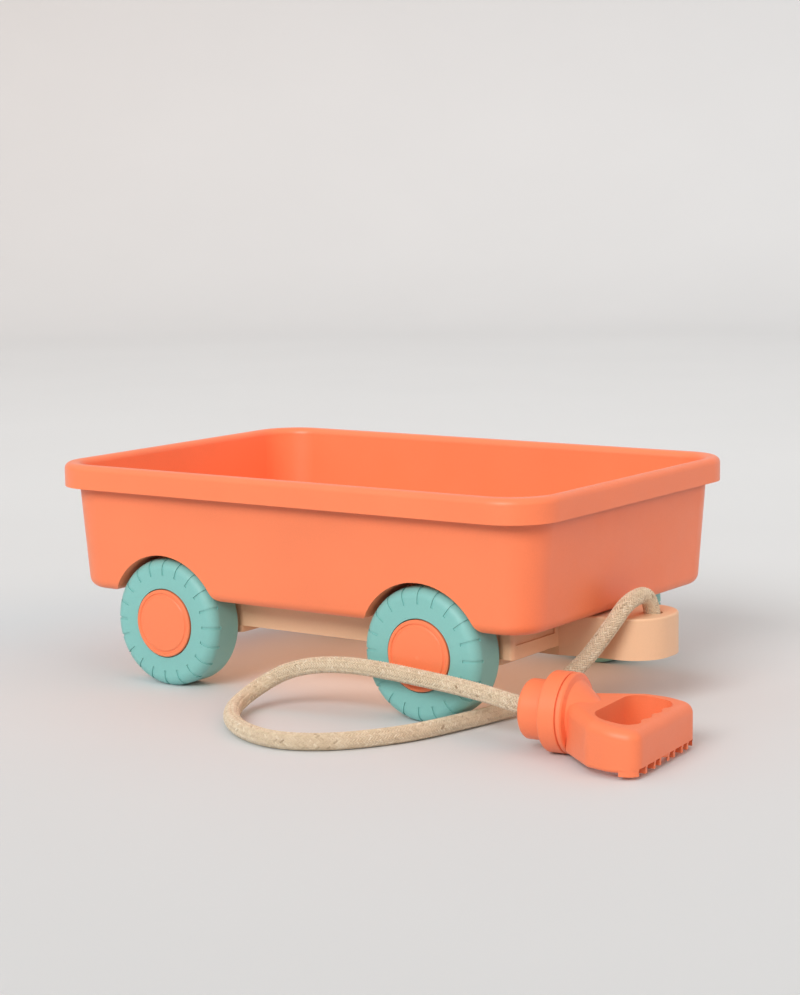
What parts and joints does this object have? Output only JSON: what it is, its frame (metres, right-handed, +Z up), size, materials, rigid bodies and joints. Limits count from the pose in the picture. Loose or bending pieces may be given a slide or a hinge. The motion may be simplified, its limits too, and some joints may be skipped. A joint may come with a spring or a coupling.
{
  "type": "pull wagon",
  "caption": "Toddler's pull wagon: open moulded tub with a rolled rim on a wheeled chassis, pulled by a braided rope with a moulded D handle.",
  "frame": {"origin": "on the floor, under the centre of the box around the wagon and its handle, without the rope", "axes": "+X is the pulling direction, +Y is the side away from the loose handle, +Z is up"},
  "size_m": [0.4934, 0.3656, 0.152],
  "materials": {
    "tub_plastic": "satin moulded polypropylene, warm orange",
    "cap_plastic": "satin moulded polypropylene, warm orange",
    "handle_plastic": "matt moulded polypropylene, warm orange",
    "teal_plastic": "satin moulded plastic, soft teal",
    "cream_plastic": "satin moulded plastic, peach cream",
    "cotton_rope": "braided natural cotton",
    "steel": "zinc plated",
    "spring_steel": "dark spring steel"
  },
  "bodies": {
    "root": {"chassis": "cream_plastic", "front_axle": "steel", "front_far_push_nut": "spring_steel", "front_far_washer": "steel", "front_keepers": "cream_plastic", "front_near_push_nut": "spring_steel", "front_near_washer": "steel", "handle_collar": "handle_plastic", "handle_lower_shell": "handle_plastic", "handle_screws": "steel", "handle_upper_shell": "handle_plastic", "keeper_screws": "steel", "rear_axle": "steel", "rear_far_push_nut": "spring_steel", "rear_far_washer": "steel", "rear_keepers": "cream_plastic", "rear_near_push_nut": "spring_steel", "rear_near_washer": "steel", "rope": "cotton_rope", "rope_knot_handle": "cotton_rope", "rope_knot_tongue": "cotton_rope", "tub": "tub_plastic", "tub_screws": "steel"},
    "rear_near_wheel_set": {"rear_near_hub_cap": "cap_plastic", "rear_near_wheel": "teal_plastic"},
    "rear_far_wheel_set": {"rear_far_hub_cap": "cap_plastic", "rear_far_wheel": "teal_plastic"},
    "front_near_wheel_set": {"front_near_hub_cap": "cap_plastic", "front_near_wheel": "teal_plastic"},
    "front_far_wheel_set": {"front_far_hub_cap": "cap_plastic", "front_far_wheel": "teal_plastic"}
  },
  "joints": [
    {"name": "rear_near_spin", "type": "hinge", "parent": "root", "child": "rear_near_wheel_set", "pos_m": [-0.15296, -0.08921, 0.0444], "axis": [0, 1, 0], "continuous": true},
    {"name": "rear_far_spin", "type": "hinge", "parent": "root", "child": "rear_far_wheel_set", "pos_m": [-0.15296, 0.13079, 0.0444], "axis": [0, 1, 0], "continuous": true},
    {"name": "front_near_spin", "type": "hinge", "parent": "root", "child": "front_near_wheel_set", "pos_m": [0.05964, -0.08921, 0.0444], "axis": [0, 1, 0], "continuous": true},
    {"name": "front_far_spin", "type": "hinge", "parent": "root", "child": "front_far_wheel_set", "pos_m": [0.05964, 0.13079, 0.0444], "axis": [0, 1, 0], "continuous": true}
  ]
}
